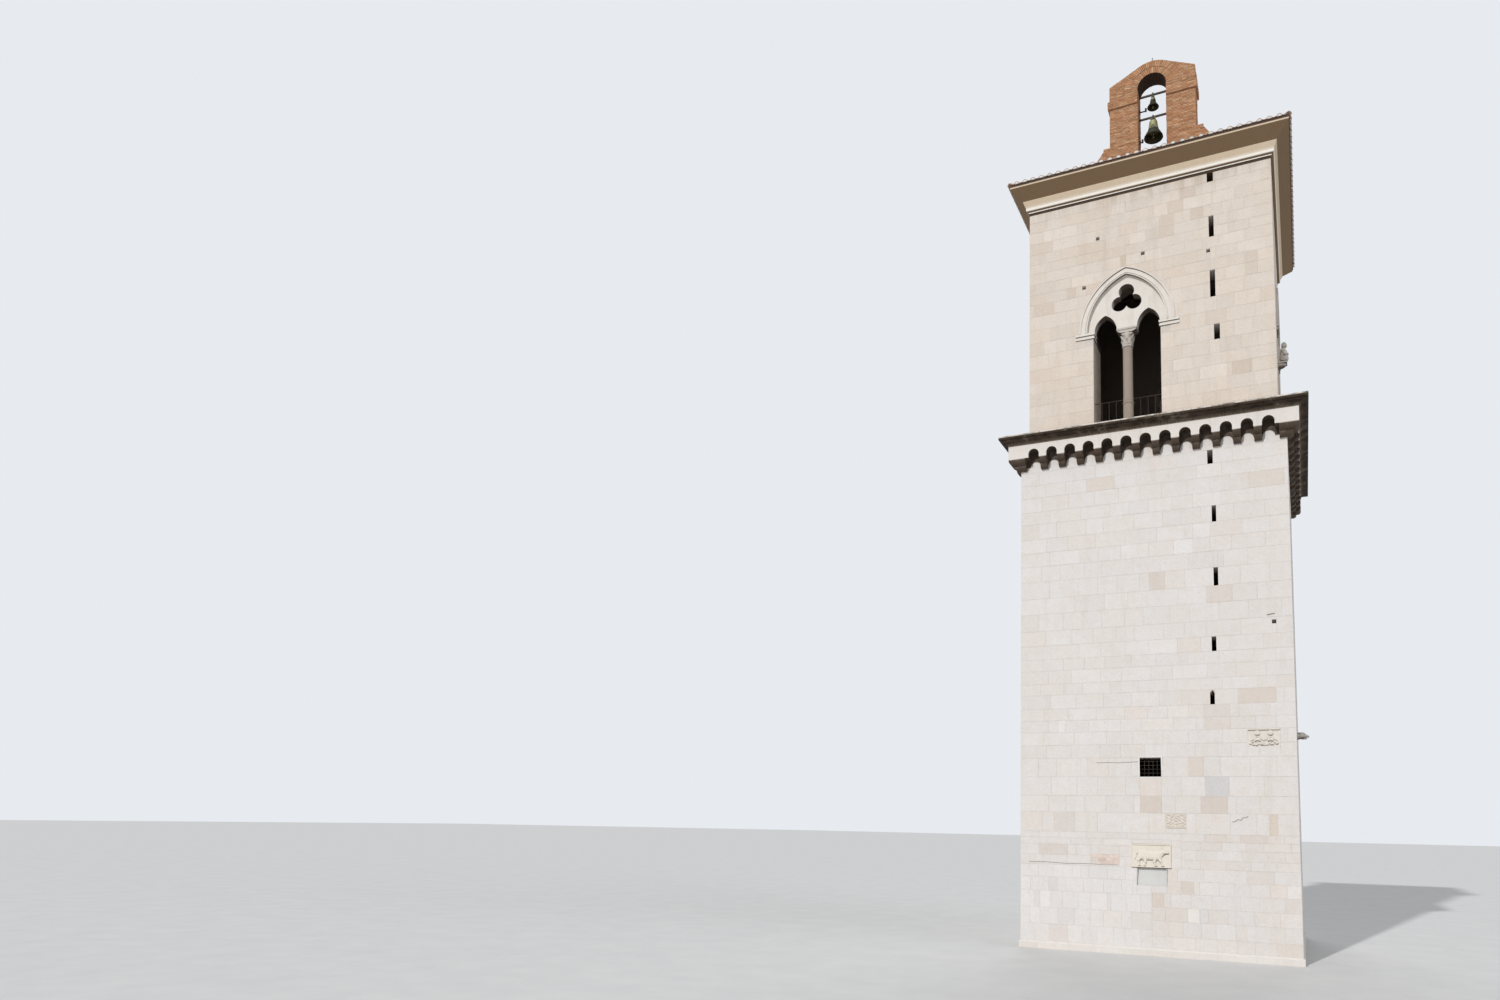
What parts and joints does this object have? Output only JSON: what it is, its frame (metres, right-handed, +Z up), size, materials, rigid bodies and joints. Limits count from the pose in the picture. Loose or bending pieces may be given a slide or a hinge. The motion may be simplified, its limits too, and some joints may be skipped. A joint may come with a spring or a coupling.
{
  "type": "bell tower",
  "caption": "Square stone bell tower: plain shaft, arched corbel table, belfry stage with traceried windows, low tiled roof and a brick bell-cote with bells.",
  "frame": {"origin": "middle of the square footprint, at ground level", "axes": "+Z up, the face with the carved panels and the bell-cote looks along -Y, +X is to its right"},
  "size_m": [11.968, 11.968, 38.05],
  "materials": {
    "ashlar": "cut pale limestone",
    "belfry_ashlar": "cut beige limestone",
    "carved_stone": "carved pale limestone",
    "grey_marble": "worn grey marble",
    "weathered_stone": "dark weathered stone",
    "column_stone": "pinkish grey stone",
    "crown_render": "lime render",
    "roof_tile": "clay tile",
    "brick": "weathered brick",
    "bell_bronze": "dull bronze",
    "iron": "dark painted iron"
  },
  "bodies": {
    "root": {"plinth": "ashlar", "shaft_wall_front": "ashlar", "shaft_wall_right": "ashlar", "shaft_wall_back": "ashlar", "shaft_wall_left": "ashlar", "quadruped_panel": "carved_stone", "grey_slab": "grey_marble", "figure_panel": "carved_stone", "patterned_stone": "carved_stone", "side_head": "carved_stone", "corbel_table": "carved_stone", "corner_corbels": "carved_stone", "cornice_front_back": "weathered_stone", "cornice_sides": "weathered_stone", "belfry_floor": "belfry_ashlar", "belfry_wall_front": "belfry_ashlar", "belfry_wall_right": "belfry_ashlar", "belfry_wall_back": "belfry_ashlar", "belfry_wall_left": "belfry_ashlar", "window_tracery": "carved_stone", "window_hoods": "carved_stone", "window_imposts": "carved_stone", "column_bases": "column_stone", "column_shafts": "column_stone", "column_capitals": "carved_stone", "window_railings": "iron", "bracket_figure": "carved_stone", "crown_front_back": "crown_render", "crown_sides": "crown_render", "roof": "roof_tile", "roof_tiles": "roof_tile", "cote_foot": "brick", "cote_pier_left": "brick", "cote_pier_right": "brick", "cote_head": "brick", "upper_bell_bar": "iron", "lower_bell_bar": "iron", "small_bell": "bell_bronze", "large_bell": "bell_bronze", "bell_loops": "iron", "small_striker": "iron", "large_striker": "iron", "cote_rod": "iron"}
  },
  "joints": []
}
